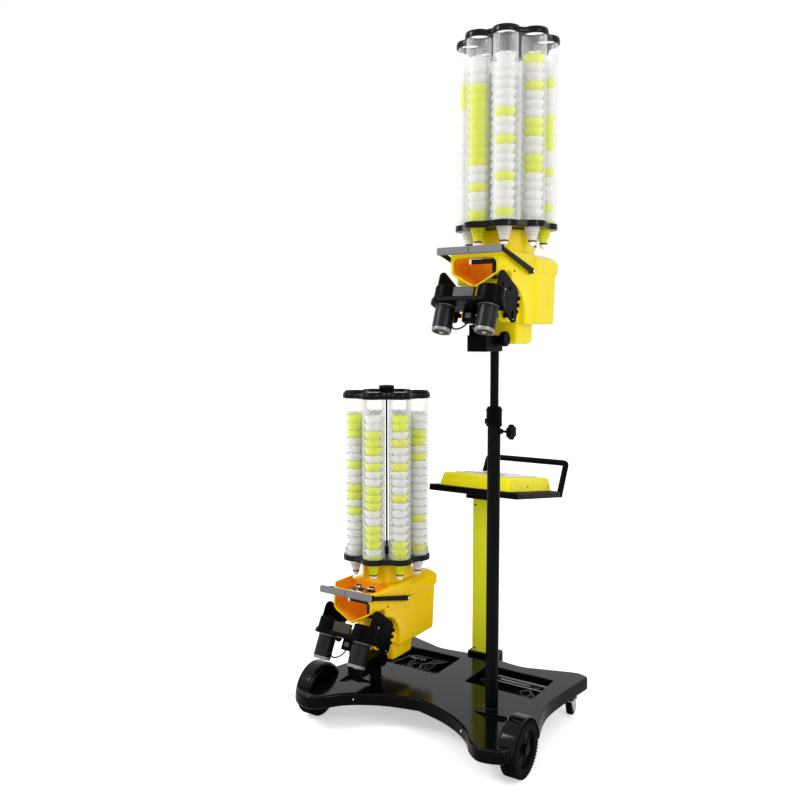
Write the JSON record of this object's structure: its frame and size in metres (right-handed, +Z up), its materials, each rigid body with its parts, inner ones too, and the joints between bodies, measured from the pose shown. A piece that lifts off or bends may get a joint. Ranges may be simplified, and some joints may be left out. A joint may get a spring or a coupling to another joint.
{
  "type": "badminton shuttlecock machine",
  "caption": "Wheeled badminton trainer: two shooting heads with rotary tube magazines, one low and one on a telescopic mast, and a sloping console on a column.",
  "frame": {"origin": "middle of the bounding box, on the floor under the wheels", "axes": "+Z up, +X to the right as seen by a player who stands in front and faces the machine, which shoots towards -Y"},
  "size_m": [0.86, 1.055, 2.339],
  "materials": {
    "deck_black": "gloss",
    "tyre_black": "matte",
    "bright_steel": "satin",
    "black_steel": "satin",
    "black_alloy": "satin",
    "black_plastic": "satin",
    "lemon_column": "satin",
    "yellow_plastic": "gloss",
    "panel_grey": "satin",
    "grey_bar": "satin",
    "orange_plastic": "satin",
    "motor_black": "gloss",
    "foam_black": "matte",
    "loaded_tube": "gloss"
  },
  "bodies": {
    "base": {"platform": "deck_black", "mast_tube": "black_steel", "mast_collar": "black_plastic", "short_post": "black_steel", "column": "lemon_column", "console_frame": "black_alloy", "push_handle": "black_plastic", "console_cover": "yellow_plastic", "touch_panel": "panel_grey"},
    "left_wheel": {"left_wheel": "tyre_black"},
    "right_wheel": {"right_wheel": "tyre_black"},
    "left_caster": {"left_caster_fork": "bright_steel"},
    "left_roller": {"left_caster_wheel": "tyre_black"},
    "right_caster": {"right_caster_fork": "bright_steel"},
    "right_roller": {"right_caster_wheel": "tyre_black"},
    "mast_clamp": {"mast_knob": "black_plastic"},
    "mast_inner": {"mast_inner_tube": "black_steel"},
    "lower_head": {"lower_mount_block": "black_alloy", "lower_housing": "yellow_plastic", "lower_bumper_bar": "grey_bar", "lower_chute": "orange_plastic"},
    "lower_side_knob": {"lower_mount_knob": "black_plastic"},
    "lower_gripper": {"lower_gripper": "bright_steel"},
    "lower_launcher": {"lower_launcher_frame": "black_plastic", "lower_left_motor": "motor_black", "lower_right_motor": "motor_black"},
    "lower_left_thrower": {"lower_left_throw_wheel": "foam_black"},
    "lower_right_thrower": {"lower_right_throw_wheel": "foam_black"},
    "lower_magazine": {"lower_magazine_base": "black_plastic", "lower_magazine_top": "black_plastic", "lower_tube_1": "loaded_tube", "lower_tube_2": "loaded_tube", "lower_tube_3": "loaded_tube", "lower_tube_4": "loaded_tube", "lower_tube_5": "loaded_tube", "lower_tube_6": "loaded_tube", "lower_tube_7": "loaded_tube", "lower_tube_8": "loaded_tube"},
    "upper_head": {"upper_mount_block": "black_alloy", "upper_housing": "yellow_plastic", "upper_bumper_bar": "grey_bar", "upper_chute": "orange_plastic"},
    "upper_side_knob": {"upper_mount_knob": "black_plastic"},
    "upper_gripper": {"upper_gripper": "bright_steel"},
    "upper_launcher": {"upper_launcher_frame": "black_plastic", "upper_left_motor": "motor_black", "upper_right_motor": "motor_black"},
    "upper_left_thrower": {"upper_left_throw_wheel": "foam_black"},
    "upper_right_thrower": {"upper_right_throw_wheel": "foam_black"},
    "upper_magazine": {"upper_magazine_base": "black_plastic", "upper_magazine_top": "black_plastic", "upper_tube_1": "loaded_tube", "upper_tube_2": "loaded_tube", "upper_tube_3": "loaded_tube", "upper_tube_4": "loaded_tube", "upper_tube_5": "loaded_tube", "upper_tube_6": "loaded_tube", "upper_tube_7": "loaded_tube", "upper_tube_8": "loaded_tube"}
  },
  "joints": [
    {"name": "left_wheel_spin", "type": "hinge", "parent": "base", "child": "left_wheel", "pos_m": [-0.401, -0.38449, 0.09], "axis": [1, 0, 0], "continuous": true},
    {"name": "left_caster_swivel", "type": "hinge", "parent": "base", "child": "left_caster", "pos_m": [-0.374, 0.09051, 0.07], "axis": [0, 0, 1], "continuous": true},
    {"name": "left_caster_roll", "type": "hinge", "parent": "left_caster", "child": "left_roller", "pos_m": [-0.374, 0.11051, 0.027], "axis": [1, 0, 0], "continuous": true},
    {"name": "right_wheel_spin", "type": "hinge", "parent": "base", "child": "right_wheel", "pos_m": [0.401, -0.38449, 0.09], "axis": [1, 0, 0], "continuous": true},
    {"name": "right_caster_swivel", "type": "hinge", "parent": "base", "child": "right_caster", "pos_m": [0.374, 0.09051, 0.07], "axis": [0, 0, 1], "continuous": true},
    {"name": "right_caster_roll", "type": "hinge", "parent": "right_caster", "child": "right_roller", "pos_m": [0.374, 0.11051, 0.027], "axis": [1, 0, 0], "continuous": true},
    {"name": "mast_knob_turn", "type": "hinge", "parent": "base", "child": "mast_clamp", "pos_m": [0.29, -0.25249, 1.06], "axis": [1, 0, 0], "continuous": true},
    {"name": "mast_lift", "type": "slide", "parent": "base", "child": "mast_inner", "axis": [0, 0, 1], "range_m": [-0.15, 0.45]},
    {"name": "lower_head_yaw", "type": "hinge", "parent": "base", "child": "lower_head", "pos_m": [-0.237, -0.25249, 0.194], "axis": [0, 0, 1], "range_deg": [-30, 30]},
    {"name": "lower_side_knob_turn", "type": "hinge", "parent": "lower_head", "child": "lower_side_knob", "pos_m": [-0.187, -0.28199, 0.212], "axis": [1, 0, 0], "continuous": true},
    {"name": "lower_gripper_lift", "type": "slide", "parent": "lower_head", "child": "lower_gripper", "axis": [0, 0, 1], "range_m": [-0.012, 0.036]},
    {"name": "lower_tilt", "type": "hinge", "parent": "lower_head", "child": "lower_launcher", "pos_m": [-0.237, -0.33149, 0.285], "axis": [-1, 0, 0], "range_deg": [-22, 6]},
    {"name": "lower_left_wheel_spin", "type": "hinge", "parent": "lower_launcher", "child": "lower_left_thrower", "pos_m": [-0.311, -0.43128, 0.33585], "axis": [0, 0.454, 0.891], "continuous": true},
    {"name": "lower_right_wheel_spin", "type": "hinge", "parent": "lower_launcher", "child": "lower_right_thrower", "pos_m": [-0.163, -0.43128, 0.33585], "axis": [0, 0.454, 0.891], "continuous": true},
    {"name": "lower_magazine_turn", "type": "hinge", "parent": "lower_head", "child": "lower_magazine", "pos_m": [-0.237, -0.17849, 0.57], "axis": [0, 0, 1], "continuous": true},
    {"name": "upper_head_yaw", "type": "hinge", "parent": "mast_inner", "child": "upper_head", "pos_m": [0.237, -0.25249, 1.342], "axis": [0, 0, 1], "range_deg": [-30, 30]},
    {"name": "upper_side_knob_turn", "type": "hinge", "parent": "upper_head", "child": "upper_side_knob", "pos_m": [0.287, -0.28199, 1.36], "axis": [1, 0, 0], "continuous": true},
    {"name": "upper_gripper_lift", "type": "slide", "parent": "upper_head", "child": "upper_gripper", "axis": [0, 0, 1], "range_m": [-0.012, 0.036]},
    {"name": "upper_tilt", "type": "hinge", "parent": "upper_head", "child": "upper_launcher", "pos_m": [0.237, -0.33149, 1.433], "axis": [-1, 0, 0], "range_deg": [-15, 13]},
    {"name": "upper_left_wheel_spin", "type": "hinge", "parent": "upper_launcher", "child": "upper_left_thrower", "pos_m": [0.163, -0.43673, 1.47131], "axis": [0, 0.342, 0.9397], "continuous": true},
    {"name": "upper_right_wheel_spin", "type": "hinge", "parent": "upper_launcher", "child": "upper_right_thrower", "pos_m": [0.311, -0.43673, 1.47131], "axis": [0, 0.342, 0.9397], "continuous": true},
    {"name": "upper_magazine_turn", "type": "hinge", "parent": "upper_head", "child": "upper_magazine", "pos_m": [0.237, -0.17849, 1.718], "axis": [0, 0, 1], "continuous": true}
  ],
  "couplings": [
    {"joint": "lower_right_wheel_spin", "follows": "lower_left_wheel_spin", "ratio": -1},
    {"joint": "upper_right_wheel_spin", "follows": "upper_left_wheel_spin", "ratio": -1}
  ]
}
